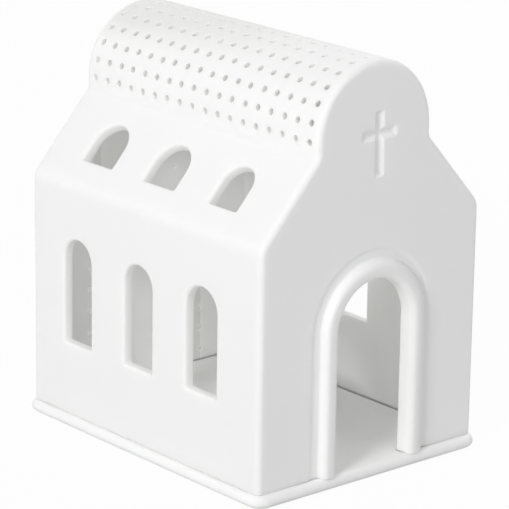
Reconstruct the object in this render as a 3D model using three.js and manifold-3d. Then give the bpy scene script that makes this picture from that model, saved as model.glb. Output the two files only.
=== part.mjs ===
// Church-shaped lantern: a one-piece white ceramic house that stands loose on a ceramic plate,
// over a tealight. Millimetres, +Z up, the doorway faces -Y.
// The origin is the centre of the plate's underside.

import * as THREE from 'three';
import { mergeGeometries, mergeVertices } from 'three/addons/utils/BufferGeometryUtils.js';
import Module from 'manifold-3d';

// Driving dimensions of the house, heights counted from the plate
const houseWidth = 100;
const houseDepth = 125.8;
const wall = 3.9;
const eaveHeight = 86.2;
const slopeRise = 27.4;
const stiltHeight = 4.5;
const vaultRadius = 25.6;
const gableEdgeRadius = 2;
const eaveBend = 3;
const shoulderBend = 1.5;

// Driving dimensions of the pierced vault
const ventRows = 13;
const ventDiameter = 2.3;
const ventPitch = 6.8;
const ventEndMargin = 5;

// Driving dimensions of the windows in the side walls, listed from front to back on the left
// and from back to front on the right
const windowWidths = [16.4, 15.4, 15.4];
const windowHeads = [66.2, 65.3, 66];
const leftWindowSills = [28.1, 27.4, 26.8];
const rightWindowSills = [28.8];
const windowPitch = 34.4;
const windowEndMargin = 14;
const leftWindowShift = 2.4;
const rightWindowShift = -3.3;

// Driving dimensions of the windows in the roof slopes, counted up the slope from the eave
const roofWindowWidths = [14.4, 16.9, 16.5];
const roofWindowHeight = 16.35;
const roofWindowSill = 10.25;
const roofWindowPitch = 34.25;

// Driving dimensions of the doorway and the raised moulding round it
const doorWidth = 33.7;
const doorHeight = 67.3;
const doorShift = 0.65;
const mouldingWidth = 6.8;
const mouldingCrest = 2.3;
const mouldingRise = 2.7;
const mouldingLap = 0.4;

// Driving dimensions of the cross sunk into the front gable, counted from its arms
const crossTop = 8.4;
const crossFoot = 15.6;
const crossReach = 8.3;
const crossStroke = 4.7;
const crossDepth = 1.4;
const crossShift = 1.75;

// Driving dimensions of the pierced arch in the back gable
const backHoleDiameter = 2.3;
const backArchRadius = 26.2;
const backArchShift = -0.9;
const backArchSpring = 55.6;
const backArchSteps = 9;
const backHoleFirst = 4;
const backHolePitch = 8.5;

// Driving dimensions of the plate
const plateSideOverhang = 2;
const plateEndOverhang = 2.7;
const plateThickness = 5.2;
const plateEdgeFlat = 0.4;
const plateCornerRadius = 6;

// Driving dimensions of the tealight and its place on the plate
const cupDiameter = 38;
const cupHeight = 15;
const cupDraft = 0.5;
const cupSheet = 0.35;
const cupRim = 0.6;
const waxHeight = 12.2;
const waxMeniscus = 0.5;
const tabDiameter = 14;
const tabSheet = 0.35;
const neckDiameter = 3.4;
const neckHeight = 3;
const wickDiameter = 1.6;
const wickFree = 6.5;
const tealightX = 8;
const tealightY = -5;

// Clearances and facet counts
const fitGap = 0.3;
const cutReach = 2;
const trimReach = 0.1;
const archSegments = 12;
const bendSegments = 3;
const edgeSegments = 3;
const ventSides = 6;
const roundSegments = 40;
const wickSides = 10;
const weldDistance = 1e-4;

// Values that follow from the driving dimensions
const halfWidth = houseWidth / 2;
const halfDepth = houseDepth / 2;
const shoulderHeight = eaveHeight + slopeRise;
const springHeight = shoulderHeight + stiltHeight;
const ventStep = Math.PI / (ventRows - 1);
const slopeRun = halfWidth - vaultRadius;
const slopeLength = Math.hypot(slopeRun, slopeRise);
const doorHalf = doorWidth / 2;
const doorSpring = doorHeight - doorHalf;
const plateEdgeRadius = (plateThickness - plateEdgeFlat) / 2;

const wasm = await Module();
wasm.setup();

// Turns a closed three.js geometry into a solid that can be joined and cut
function solidOf(geometry) {
  const bare = geometry.clone();
  bare.deleteAttribute('normal');
  bare.deleteAttribute('uv');
  const welded = mergeVertices(bare, weldDistance);
  return new wasm.Manifold(new wasm.Mesh({
    numProp: 3,
    vertProperties: new Float32Array(welded.attributes.position.array),
    triVerts: new Uint32Array(welded.index.array),
  }));
}

// Turns a joined and cut solid back into a three.js geometry
function geometryOf(solid) {
  const mesh = solid.getMesh();
  const geometry = new THREE.BufferGeometry();
  geometry.setAttribute('position', new THREE.BufferAttribute(mesh.vertProperties, 3));
  geometry.setIndex(new THREE.BufferAttribute(mesh.triVerts, 1));
  geometry.computeVertexNormals();
  return geometry;
}

// One solid of many separate cutters
function cutterOf(geometries) {
  return solidOf(mergeGeometries(geometries));
}

// Extrudes a shape by a length centred on a point, with its own x and y along the two given axes
function extrudedAt(shape, length, point, xAxis, yAxis, options = {}) {
  const geometry = new THREE.ExtrudeGeometry(shape, {
    depth: length,
    bevelEnabled: false,
    curveSegments: archSegments,
    ...options,
  });
  geometry.translate(0, 0, -length / 2);
  const zAxis = new THREE.Vector3().crossVectors(xAxis, yAxis);
  geometry.applyMatrix4(new THREE.Matrix4().makeBasis(xAxis, yAxis, zAxis).setPosition(point));
  return geometry;
}

const alongX = new THREE.Vector3(1, 0, 0);
const alongY = new THREE.Vector3(0, 1, 0);
const alongZ = new THREE.Vector3(0, 0, 1);

// A round-headed opening that stands on y = 0
function archedShape(width, height, below = 0) {
  const radius = width / 2;
  const shape = new THREE.Shape();
  shape.moveTo(-radius, -below);
  shape.lineTo(radius, -below);
  shape.lineTo(radius, height - radius);
  shape.absarc(0, height - radius, radius, 0, Math.PI, false);
  return shape;
}

// The centres of a row of equal steps that is centred on zero
function centredRow(count, pitch) {
  return Array.from({ length: count }, (_, index) => (index - (count - 1) / 2) * pitch);
}

// How many steps of a pitch fit in a length, with one at each end
function rowCount(length, pitch) {
  return Math.max(1, Math.floor(length / pitch) + 1);
}

// The corners of the house's section, up the right side, over the vault and down the left side.
// The vault is flat along each row of vents, so its corners lie between the rows.
function sectionCorners(inset) {
  const slopeNormal = new THREE.Vector2(slopeRise, slopeRun).normalize();
  const wallX = halfWidth - inset;
  const vaultX = vaultRadius - inset;
  const onSlope = (x) => eaveHeight + ((halfWidth - x) * slopeNormal.x - inset) / slopeNormal.y;
  const eave = new THREE.Vector2(wallX, onSlope(wallX));
  const shoulder = new THREE.Vector2(vaultX, onSlope(vaultX));
  const cornerRadius = vaultX / Math.cos(ventStep / 2);
  const vault = Array.from({ length: ventRows - 1 }, (_, row) => {
    const angle = (row + 0.5) * ventStep;
    return new THREE.Vector2(cornerRadius * Math.cos(angle), springHeight + cornerRadius * Math.sin(angle));
  });
  const across = (point) => new THREE.Vector2(-point.x, point.y);
  return [eave, shoulder, ...vault, across(shoulder), across(eave)];
}

// The whole section, from below the plate up one side and down the other
function houseShape(inset, below, bends) {
  const corners = sectionCorners(inset);
  const shape = new THREE.Shape();
  shape.moveTo(-corners[0].x, -below);
  shape.lineTo(corners[0].x, -below);
  corners.forEach((corner, index) => {
    const bend = bends[Math.min(index, corners.length - 1 - index)];
    if (!bend) {
      shape.lineTo(corner.x, corner.y);
      return;
    }
    const before = index > 0 ? corners[index - 1] : new THREE.Vector2(corner.x, 0);
    const after = index < corners.length - 1 ? corners[index + 1] : new THREE.Vector2(corner.x, 0);
    const start = before.clone().sub(corner).setLength(bend).add(corner);
    const end = after.clone().sub(corner).setLength(bend).add(corner);
    shape.lineTo(start.x, start.y);
    shape.quadraticCurveTo(corner.x, corner.y, end.x, end.y);
  });
  return shape;
}

// The house's outer body, with soft edges round both gables
function outerBody() {
  const below = gableEdgeRadius + cutReach;
  const length = houseDepth - 2 * gableEdgeRadius;
  const body = extrudedAt(
    houseShape(0, below, [eaveBend, shoulderBend]),
    length,
    new THREE.Vector3(),
    alongX,
    alongZ,
    {
      curveSegments: bendSegments,
      bevelEnabled: true,
      bevelThickness: gableEdgeRadius,
      bevelSize: gableEdgeRadius,
      bevelOffset: -gableEdgeRadius,
      bevelSegments: edgeSegments,
    },
  );
  return solidOf(body);
}

// The space inside the walls
function innerSpace() {
  const below = gableEdgeRadius + 2 * cutReach;
  const space = houseShape(wall, below, []);
  return solidOf(extrudedAt(space, houseDepth - 2 * wall, new THREE.Vector3(), alongX, alongZ));
}

// Everything below the plate's top, which is cut off to make the house's flat foot
function belowFoot() {
  const depth = gableEdgeRadius + 3 * cutReach;
  const slab = new THREE.BoxGeometry(houseWidth + 2 * cutReach, houseDepth + 2 * cutReach, depth);
  slab.translate(0, 0, -depth / 2);
  return solidOf(slab);
}

// The moulding's section: x outwards from the doorway's edge, y out of the gable.
// One quarter ellipse rolls into the doorway, which trims it, and another runs out to the gable.
function mouldingSection() {
  const inner = mouldingCrest + trimReach;
  const outer = mouldingWidth - mouldingCrest;
  const root = -wall / 2;
  const points = [new THREE.Vector2(-trimReach, root)];
  for (let step = 0; step <= 2 * edgeSegments; step += 1) {
    const angle = (step / edgeSegments) * (Math.PI / 2);
    const side = step < edgeSegments ? inner : outer;
    points.push(new THREE.Vector2(mouldingCrest - side * Math.cos(angle), mouldingRise * Math.sin(angle)));
  }
  points.push(new THREE.Vector2(mouldingWidth, root));
  return points;
}

// The moulding: half a turned ring over the doorway and a straight leg on each side
function moulding() {
  const section = mouldingSection();
  const ring = section.map((point) => new THREE.Vector2(doorHalf + point.x, -point.y));
  const turned = new THREE.LatheGeometry([...ring, ring[0]], 2 * archSegments);
  turned.rotateY(Math.PI / 2);
  turned.translate(doorShift, -halfDepth, doorSpring);
  const reach = doorHalf + mouldingWidth + cutReach;
  const half = new THREE.BoxGeometry(2 * reach, houseDepth, reach);
  half.translate(doorShift, -halfDepth, doorSpring - mouldingLap + reach / 2);
  let solid = solidOf(turned).intersect(solidOf(half));
  for (const side of [-1, 1]) {
    const leg = new THREE.Shape(
      section.map((point) => new THREE.Vector2(side * (doorHalf + point.x), -halfDepth - point.y)),
    );
    const middle = new THREE.Vector3(doorShift, 0, doorSpring / 2);
    solid = solid.add(solidOf(extrudedAt(leg, doorSpring, middle, alongX, alongY)));
  }
  return solid;
}

// The doorway, cut through the front gable and its moulding
function doorway() {
  const length = wall + mouldingRise + 2 * cutReach;
  const middle = new THREE.Vector3(doorShift, -halfDepth + (wall - mouldingRise) / 2, 0);
  return extrudedAt(archedShape(doorWidth, doorHeight, cutReach), length, middle, alongX, alongZ);
}

// The cross, sunk into the front gable level with the vault's centre
function sunkCross() {
  const half = crossStroke / 2;
  const shape = new THREE.Shape([
    new THREE.Vector2(-half, -crossFoot),
    new THREE.Vector2(half, -crossFoot),
    new THREE.Vector2(half, -half),
    new THREE.Vector2(crossReach, -half),
    new THREE.Vector2(crossReach, half),
    new THREE.Vector2(half, half),
    new THREE.Vector2(half, crossTop),
    new THREE.Vector2(-half, crossTop),
    new THREE.Vector2(-half, half),
    new THREE.Vector2(-crossReach, half),
    new THREE.Vector2(-crossReach, -half),
    new THREE.Vector2(-half, -half),
  ]);
  const middle = new THREE.Vector3(crossShift, -halfDepth, springHeight);
  return extrudedAt(shape, 2 * crossDepth, middle, alongX, alongZ);
}

// The value of a list at an index, from the start again after its end
function repeated(list, index) {
  return list[index % list.length];
}

// The windows along one side, each with its width and its place from the middle of the row.
// The row runs from front to back on the left and from back to front on the right.
function windowRow(side, widths, pitch) {
  const room = houseDepth - 2 * windowEndMargin - Math.max(...widths);
  return centredRow(rowCount(room, pitch), pitch).map((place, index) => {
    return { index, width: repeated(widths, index), y: -side * place };
  });
}

// The windows of both side walls
function wallWindows() {
  const cutters = [];
  for (const [side, sills, shift] of [
    [-1, leftWindowSills, leftWindowShift],
    [1, rightWindowSills, rightWindowShift],
  ]) {
    for (const { index, width, y } of windowRow(side, windowWidths, windowPitch)) {
      const sill = repeated(sills, index);
      const shape = archedShape(width, repeated(windowHeads, index) - sill);
      const middle = new THREE.Vector3(side * (halfWidth - wall / 2), y + shift, sill);
      cutters.push(extrudedAt(shape, wall + 2 * cutReach, middle, alongY, alongZ));
    }
  }
  return cutters;
}

// The windows of both roof slopes, cut square to the slope
function roofWindows() {
  const cutters = [];
  for (const side of [-1, 1]) {
    const up = new THREE.Vector3(-side * slopeRun, 0, slopeRise).divideScalar(slopeLength);
    const inwards = new THREE.Vector3(-side * slopeRise, 0, -slopeRun).divideScalar(slopeLength);
    for (const { width, y } of windowRow(side, roofWindowWidths, roofWindowPitch)) {
      const shape = archedShape(width, roofWindowHeight);
      const middle = new THREE.Vector3(side * halfWidth, y, eaveHeight)
        .addScaledVector(up, roofWindowSill)
        .addScaledVector(inwards, wall / 2);
      cutters.push(extrudedAt(shape, wall + 2 * cutReach, middle, alongY, up));
    }
  }
  return cutters;
}

// A round hole through a wall, along a direction
function pierced(diameter, point, direction) {
  const hole = new THREE.CylinderGeometry(diameter / 2, diameter / 2, wall + 2 * cutReach, ventSides);
  hole.applyQuaternion(new THREE.Quaternion().setFromUnitVectors(alongY, direction));
  hole.translate(point.x, point.y, point.z);
  return hole.toNonIndexed();
}

// The rows of vents over the vault, from one springing line to the other
function vaultVents() {
  const cutters = [];
  const count = rowCount(houseDepth - 2 * ventEndMargin, ventPitch);
  for (let row = 0; row < ventRows; row += 1) {
    const outwards = new THREE.Vector3(Math.cos(row * ventStep), 0, Math.sin(row * ventStep));
    for (const y of centredRow(count, ventPitch)) {
      const point = outwards.clone().multiplyScalar(vaultRadius - wall / 2);
      cutters.push(pierced(ventDiameter, point.add(new THREE.Vector3(0, y, springHeight)), outwards));
    }
  }
  return cutters;
}

// The arch of round holes in the back gable: two upright rows and a half circle over them
function backArch() {
  const cutters = [];
  const y = halfDepth - wall / 2;
  const legHoles = rowCount(backArchSpring - backHoleFirst - backHoleDiameter, backHolePitch);
  for (let hole = 0; hole < legHoles; hole += 1) {
    for (const side of [-1, 1]) {
      const x = backArchShift + side * backArchRadius;
      const point = new THREE.Vector3(x, y, backHoleFirst + hole * backHolePitch);
      cutters.push(pierced(backHoleDiameter, point, alongY));
    }
  }
  for (let step = 0; step <= backArchSteps; step += 1) {
    const angle = (step / backArchSteps) * Math.PI;
    const x = backArchShift + backArchRadius * Math.cos(angle);
    const z = backArchSpring + backArchRadius * Math.sin(angle);
    const point = new THREE.Vector3(x, y, z);
    cutters.push(pierced(backHoleDiameter, point, alongY));
  }
  return cutters;
}

// The house: body and moulding joined, hollowed, and cut by every opening
function houseGeometry() {
  const cutters = [doorway(), sunkCross(), ...wallWindows(), ...roofWindows(), ...vaultVents(), ...backArch()];
  return geometryOf(
    outerBody().add(moulding()).subtract(belowFoot()).subtract(innerSpace()).subtract(cutterOf(cutters)),
  );
}

// The plate: a rounded rectangle with a round edge all the way
function plateGeometry() {
  const x = halfWidth + plateSideOverhang;
  const y = halfDepth + plateEndOverhang;
  const r = plateCornerRadius;
  const shape = new THREE.Shape();
  shape.moveTo(-x + r, -y);
  shape.lineTo(x - r, -y);
  shape.absarc(x - r, -y + r, r, -Math.PI / 2, 0, false);
  shape.lineTo(x, y - r);
  shape.absarc(x - r, y - r, r, 0, Math.PI / 2, false);
  shape.lineTo(-x + r, y);
  shape.absarc(-x + r, y - r, r, Math.PI / 2, Math.PI, false);
  shape.lineTo(-x, -y + r);
  shape.absarc(-x + r, -y + r, r, Math.PI, 1.5 * Math.PI, false);
  const middle = new THREE.Vector3(0, 0, plateThickness / 2);
  return extrudedAt(shape, plateEdgeFlat, middle, alongX, alongY, {
    curveSegments: bendSegments,
    bevelEnabled: true,
    bevelThickness: plateEdgeRadius,
    bevelSize: plateEdgeRadius,
    bevelOffset: -plateEdgeRadius,
    bevelSegments: edgeSegments,
  });
}

// Turns a profile of [radius, height] pairs round the upright axis. The pairs run from the axis,
// or from the inside, out along the bottom and back over the top.
function turnedGeometry(profile, segments) {
  const geometry = new THREE.LatheGeometry(profile.map(([r, z]) => new THREE.Vector2(r, z)), segments);
  geometry.rotateX(Math.PI / 2);
  return geometryOf(solidOf(geometry));
}

// Heights inside the tealight, counted from its underside
const tabBottom = cupSheet;
const wickBottom = tabBottom + tabSheet;
const neckTop = wickBottom + neckHeight;
const waxTop = cupSheet + waxHeight;
const wickTop = waxTop + wickFree;
const cupRadius = cupDiameter / 2;

// The cup: a thin pressed tub that widens upwards to a turned-out rim
function cupGeometry() {
  const foot = cupRadius - cupRim - cupDraft;
  const mouth = cupRadius - cupRim;
  const profile = [
    [0, 0],
    [foot, 0],
    [mouth, cupHeight - cupSheet],
    [cupRadius, cupHeight - cupSheet],
    [cupRadius, cupHeight],
    [mouth - cupSheet, cupHeight],
    [foot - cupSheet, cupSheet],
    [0, cupSheet],
  ];
  return turnedGeometry(profile, roundSegments);
}

// The wax: it fills the cup, stands a little higher at the edge, and leaves room for tab and wick
function waxGeometry() {
  const foot = cupRadius - cupRim - cupDraft - cupSheet - fitGap;
  const bore = wickDiameter / 2 + fitGap;
  const neckRoom = neckDiameter / 2 + fitGap;
  const tabRoom = tabDiameter / 2 + fitGap;
  const profile = [
    [tabRoom, cupSheet],
    [foot, cupSheet],
    [foot + (cupDraft * waxHeight) / cupHeight, waxTop],
    [foot - waxMeniscus, waxTop - waxMeniscus],
    [bore, waxTop - waxMeniscus],
    [bore, neckTop + fitGap],
    [neckRoom, neckTop + fitGap],
    [neckRoom, wickBottom + fitGap],
    [tabRoom, wickBottom + fitGap],
    [tabRoom, cupSheet],
  ];
  return turnedGeometry(profile, roundSegments);
}

// The wick tab: a thin disc with a short neck that holds the wick upright
function tabGeometry() {
  const bore = wickDiameter / 2 + fitGap;
  const profile = [
    [0, tabBottom],
    [tabDiameter / 2, tabBottom],
    [tabDiameter / 2, wickBottom],
    [neckDiameter / 2, wickBottom],
    [neckDiameter / 2, neckTop],
    [bore, neckTop],
    [bore, wickBottom],
    [0, wickBottom],
  ];
  return turnedGeometry(profile, roundSegments / 2);
}

// The wick: it stands on the tab, inside its neck, and ends above the wax
function wickGeometry() {
  const radius = wickDiameter / 2;
  return turnedGeometry([[0, wickBottom], [radius, wickBottom], [radius, wickTop], [0, wickTop]], wickSides);
}

// Materials
function finish(color, roughness, metalness) {
  return new THREE.MeshStandardMaterial({ color, roughness, metalness });
}

function part(name, geometry, material) {
  const mesh = new THREE.Mesh(geometry, material);
  mesh.name = name;
  return mesh;
}

// The assembly
const lantern = new THREE.Group();
lantern.add(part('base_plate', plateGeometry(), finish(0xf2f1ee, 0.62, 0)));

const house = new THREE.Group();
house.position.z = plateThickness;
house.add(part('church_shell', houseGeometry(), finish(0xf4f3f0, 0.62, 0)));
lantern.add(house);

const tealight = new THREE.Group();
tealight.position.set(tealightX, tealightY, plateThickness);
tealight.add(part('tealight_cup', cupGeometry(), finish(0xc9cbcd, 0.32, 1)));
tealight.add(part('tealight_wax', waxGeometry(), finish(0xf3efe4, 0.5, 0)));
tealight.add(part('wick_tab', tabGeometry(), finish(0xb4b6b8, 0.4, 1)));
tealight.add(part('wick', wickGeometry(), finish(0xe9e4d6, 0.9, 0)));
lantern.add(tealight);

export default lantern;
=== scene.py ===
"""Looks of the church-shaped lantern: a white matte ceramic house on its plate, over a tealight.

Metres, +Z up, the doorway faces -Y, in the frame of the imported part. The house is one thin wall.
Its walls, slopes and vault are one sheet that is unrolled into (run, y), where run is the way along
the section from the crown, and its two gables are flat sheets in (x, z).
"""

import logging
import math
from dataclasses import dataclass
from enum import Enum
from functools import cached_property
from typing import Any, Callable, Iterable, Mapping, Optional, Sequence, Union

import bmesh
import bpy
import numpy as np
from mathutils import Matrix, Vector
from mathutils.geometry import delaunay_2d_cdt


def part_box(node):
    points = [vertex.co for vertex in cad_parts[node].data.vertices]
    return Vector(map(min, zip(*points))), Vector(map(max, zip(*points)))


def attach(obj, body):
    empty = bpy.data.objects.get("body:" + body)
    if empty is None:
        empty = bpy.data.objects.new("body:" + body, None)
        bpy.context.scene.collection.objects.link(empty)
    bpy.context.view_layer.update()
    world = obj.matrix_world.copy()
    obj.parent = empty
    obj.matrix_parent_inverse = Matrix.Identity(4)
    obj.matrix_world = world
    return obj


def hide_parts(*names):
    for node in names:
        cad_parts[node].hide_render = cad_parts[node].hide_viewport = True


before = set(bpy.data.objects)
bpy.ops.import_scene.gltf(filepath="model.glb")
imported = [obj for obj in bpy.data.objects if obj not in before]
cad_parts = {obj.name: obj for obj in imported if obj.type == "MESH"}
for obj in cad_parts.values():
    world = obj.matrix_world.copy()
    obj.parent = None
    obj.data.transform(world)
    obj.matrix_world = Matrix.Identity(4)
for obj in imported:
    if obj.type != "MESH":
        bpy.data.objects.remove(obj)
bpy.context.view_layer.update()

MM = 0.001
QUARTER_TURN = math.pi / 2
FULL_TURN = 2 * math.pi
WELD_DISTANCE = 0.002 * MM
FILL_TOLERANCE = 1e-4
FILL_INSIDE = 1
CORNER_STEPS = 4
WHITE = (1.0, 1.0, 1.0)

# Sockets of a Mix node that mixes colours

MIX_FIRST = 6
MIX_SECOND = 7
MIX_RESULT = 2

Colour = tuple[float, float, float]
Placed = Callable[[np.ndarray, np.ndarray], np.ndarray]

log = logging.getLogger("lantern")


class Side(Enum):
    """The two long sides of the house, as the sign of x."""

    LEFT = -1
    RIGHT = 1


class Gable(Enum):
    """The two ends of the house, as the sign of y."""

    FRONT = -1
    BACK = 1


# Shader expressions


def both_ways(operation: str) -> tuple[Callable[..., "Field"], Callable[..., "Field"]]:
    """An operator of a field and its reflected form, each of which adds a Math node.

    Args:
        operation: the Math node's operation.

    Returns:
        The method for a field and a value, and the method for a value and a field.
    """

    def forward(field: "Field", other: "Value") -> "Field":
        """The operation on this field and another value."""
        return field.shader.math(operation, field, other)

    def reflected(field: "Field", other: "Value") -> "Field":
        """The operation on another value and this field."""
        return field.shader.math(operation, other, field)

    return forward, reflected


class Field:
    """A socket of a material that takes part in Python arithmetic, either side of an operator."""

    __add__, __radd__ = both_ways("ADD")
    __sub__, __rsub__ = both_ways("SUBTRACT")
    __mul__, __rmul__ = both_ways("MULTIPLY")
    __truediv__, __rtruediv__ = both_ways("DIVIDE")
    __pow__, __rpow__ = both_ways("POWER")

    def __init__(self, shader: "Shader", socket: bpy.types.NodeSocket) -> None:
        """Keeps the socket and the material that it belongs to."""
        self.shader = shader
        self.socket = socket

    def clipped(self) -> "Field":
        """The value kept between 0 and 1."""
        return self.shader.node("ShaderNodeClamp", inputs={"Value": self})


Value = Union[Field, float]


class Shader:
    """The node tree of one material or of the world."""

    def __init__(self, owner: Union[bpy.types.Material, bpy.types.World]) -> None:
        """Turns the owner's nodes on and keeps its tree.

        Args:
            owner: the material or the world.
        """
        self.owner = owner
        owner.use_nodes = True
        self.tree = owner.node_tree

    @classmethod
    def of_material(cls, name: str) -> "Shader":
        """The tree of a new material with its Principled BSDF."""
        return cls(bpy.data.materials.new(name))

    def node(
        self,
        kind: str,
        settings: Optional[Mapping[str, Any]] = None,
        inputs: Optional[Mapping[Union[int, str], Any]] = None,
        output: Union[int, str] = 0,
    ) -> Field:
        """Adds a node.

        Args:
            kind: the node's type name.
            settings: its properties, which are set first.
            inputs: the value or the link of each named or numbered socket.
            output: the socket that is handed back.

        Returns:
            The chosen output.
        """
        made = self.tree.nodes.new(kind)
        for key, value in (settings or {}).items():
            setattr(made, key, value)
        for key, value in (inputs or {}).items():
            self.feed(made.inputs[key], value)
        return Field(self, made.outputs[output])

    def feed(self, socket: bpy.types.NodeSocket, value: Any) -> None:
        """Links a field to a socket, or sets the socket's own value.

        Args:
            socket: the input that gets the value.
            value: a field, a number, a vector or a colour.
        """
        if isinstance(value, Field):
            self.tree.links.new(value.socket, socket)
        elif socket.type == "RGBA":
            socket.default_value = (*value, 1.0)
        else:
            socket.default_value = value

    def math(self, operation: str, first: Value, second: Value) -> Field:
        """A Math node on two values."""
        return self.node("ShaderNodeMath", {"operation": operation}, {0: first, 1: second})

    def mixed(self, share: Value, first: Any, second: Any) -> Field:
        """A colour between two colours."""
        inputs = {"Factor": share, MIX_FIRST: first, MIX_SECOND: second}
        return self.node("ShaderNodeMix", {"data_type": "RGBA"}, inputs, MIX_RESULT)

    def coordinates(self) -> Field:
        """Object coordinates, which are the frame's own metres."""
        return self.node("ShaderNodeTexCoord", output="Object")

    def bump(self, height: Field, strength: float, distance: float) -> Field:
        """A normal that follows a height."""
        inputs = {"Strength": strength, "Distance": distance, "Height": height}
        return self.node("ShaderNodeBump", inputs=inputs)

    def surface(self, **values: Any) -> bpy.types.Material:
        """Sets the Principled BSDF.

        Args:
            values: the sockets by name, with _ for a space.

        Returns:
            The finished material.
        """
        principled = self.tree.nodes["Principled BSDF"]
        for name, value in values.items():
            self.feed(principled.inputs[name.replace("_", " ")], value)
        return self.owner


# Finishes


@dataclass(frozen=True)
class Grain:
    """Noise with features of about a size in metres, which can be drawn out along z."""

    size: float
    detail: float
    drawn: float = 1.0

    def on(self, shader: Shader) -> Field:
        """Adds the noise to a material.

        Args:
            shader: the material's nodes.

        Returns:
            The noise, from 0 to 1.
        """
        place = shader.coordinates()
        if self.drawn != 1.0:
            stretch = {"Vector": place, "Scale": (1.0, 1.0, self.drawn)}
            place = shader.node("ShaderNodeMapping", {"vector_type": "TEXTURE"}, stretch)
        inputs = {"Vector": place, "Scale": 1.0 / self.size, "Detail": self.detail}
        return shader.node("ShaderNodeTexNoise", inputs=inputs)


@dataclass(frozen=True)
class MattePorcelain:
    """White unglazed porcelain: cloudy by a shade, with a fine dry grain and soft waves of the mould."""

    name: str
    colour: Colour = (0.979, 0.981, 0.976)
    shade: Colour = (0.965, 0.965, 0.959)
    roughness: float = 0.62
    roughness_spread: float = 0.14
    specular: float = 0.4
    cloud: Grain = Grain(32 * MM, 2.0)
    cloud_share: float = 0.7
    grain: Grain = Grain(0.35 * MM, 4.0)
    grain_share: float = 0.3
    grain_height: float = 0.5
    wave: Grain = Grain(18 * MM, 1.0)
    wave_height: float = 1.5
    relief: float = 0.35
    relief_depth: float = 0.05 * MM
    translucency: float = 1.0
    light_spread: float = 2 * MM

    def material(self) -> bpy.types.Material:
        """Makes the material.

        Returns:
            The material: cloud and grain shade its colour, and grain and wave set roughness and bump.
        """
        shader = Shader.of_material(self.name)
        cloud, grain, wave = (noise.on(shader) for noise in (self.cloud, self.grain, self.wave))
        height = grain * self.grain_height + wave * self.wave_height
        return shader.surface(
            Base_Color=self.tint(shader, cloud * self.cloud_share + grain * self.grain_share),
            Roughness=self.roughness + (grain - 0.5) * self.roughness_spread,
            Normal=shader.bump(height, self.relief, self.relief_depth),
            Specular_IOR_Level=self.specular,
            Subsurface_Weight=self.translucency,
            Subsurface_Scale=self.light_spread,
            Subsurface_Radius=WHITE,
        )

    def tint(self, shader: Shader, clouds: Field) -> Field:
        """The colour: white, with clouds of a slightly darker shade."""
        return shader.mixed(clouds, self.shade, self.colour)


@dataclass(frozen=True, kw_only=True)
class PiercedPorcelain(MattePorcelain):
    """The same porcelain, greyer inside the wall of a pierced vault: painted shade that darkens the vents.
    """

    vault_radius: float
    vault_height: float
    vault_reach: float
    wall: float
    # Painted shade: the grey of the vents' walls
    vent_shade: Colour = (0.84, 0.84, 0.83)
    fade: float = 0.6 * MM

    def tint(self, shader: Shader, clouds: Field) -> Field:
        """The colour: the depth below the vault, counted from its axis, tells the vents from the skin.

        Args:
            shader: the material's nodes.
            clouds: the noise that shades the white.

        Returns:
            The porcelain's colour, and a painted shade between the wall's two faces, inside the vents.
        """
        place = shader.coordinates()
        x, y, z = (shader.node("ShaderNodeSeparateXYZ", inputs={0: place}, output=axis) for axis in "XYZ")
        over = shader.math("MAXIMUM", z - self.vault_height, 0.0)
        depth = self.vault_radius - (x * x + over * over) ** 0.5
        between = shader.math("MINIMUM", depth, self.wall - depth) / self.fade
        # Painted shade: grey inside the vents, between the wall's two faces, short of the gables
        vent = between.clipped() * shader.math("LESS_THAN", y * y, self.vault_reach**2)
        return shader.mixed(vent, super().tint(shader, clouds), self.vent_shade)


@dataclass(frozen=True)
class GrainedFinish:
    """A finish of two colours: spots mix and dull them, and a grain is felt as a fine relief."""

    name: str
    colour: Colour
    shade: Colour
    roughness: float
    spots: Grain
    spots_dull: float
    grain: Grain
    relief: float
    relief_depth: float
    grain_dull: float = 0.0
    metallic: float = 0.0
    translucency: float = 0.0
    light_spread: float = 2 * MM

    def material(self) -> bpy.types.Material:
        """Makes the material.

        Returns:
            The material: spots set its colour and roughness, and the grain its roughness and bump.
        """
        shader = Shader.of_material(self.name)
        spots, grain = self.spots.on(shader), self.grain.on(shader)
        dull = (spots - 0.5) * self.spots_dull + (grain - 0.5) * self.grain_dull
        return shader.surface(
            Base_Color=shader.mixed(spots, self.shade, self.colour),
            Roughness=self.roughness + dull,
            Normal=shader.bump(grain, self.relief, self.relief_depth),
            Metallic=self.metallic,
            Subsurface_Weight=self.translucency,
            Subsurface_Scale=self.light_spread,
        )


Finish = Union[MattePorcelain, GrainedFinish]

# Thin pressed aluminium, half bright, with rolling marks along z and cloudy smudges
PRESSED_ALUMINIUM = GrainedFinish(
    "cup_aluminium",
    colour=(0.80, 0.81, 0.82),
    shade=(0.66, 0.67, 0.68),
    roughness=0.27,
    spots=Grain(7 * MM, 3.0),
    spots_dull=0.2,
    grain=Grain(0.5 * MM, 2.0, 14.0),
    grain_dull=0.1,
    relief=0.2,
    relief_depth=0.02 * MM,
    metallic=1.0,
)

# Paraffin wax, ivory white and soft, with pale frost and a faintly uneven top
CANDLE_WAX = GrainedFinish(
    "candle_wax",
    colour=(0.93, 0.915, 0.88),
    shade=(0.90, 0.87, 0.80),
    roughness=0.52,
    spots=Grain(5 * MM, 4.0),
    spots_dull=0.2,
    grain=Grain(3 * MM, 2.0),
    relief=0.3,
    relief_depth=0.15 * MM,
    translucency=0.25,
)

# Thin tinned steel sheet with a satin surface
TINNED_SHEET = GrainedFinish(
    "tab_steel",
    colour=(0.70, 0.71, 0.72),
    shade=(0.56, 0.57, 0.58),
    roughness=0.36,
    spots=Grain(0.6 * MM, 3.0),
    spots_dull=0.15,
    grain=Grain(0.6 * MM, 3.0),
    relief=0.2,
    relief_depth=0.02 * MM,
    metallic=1.0,
)
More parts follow.
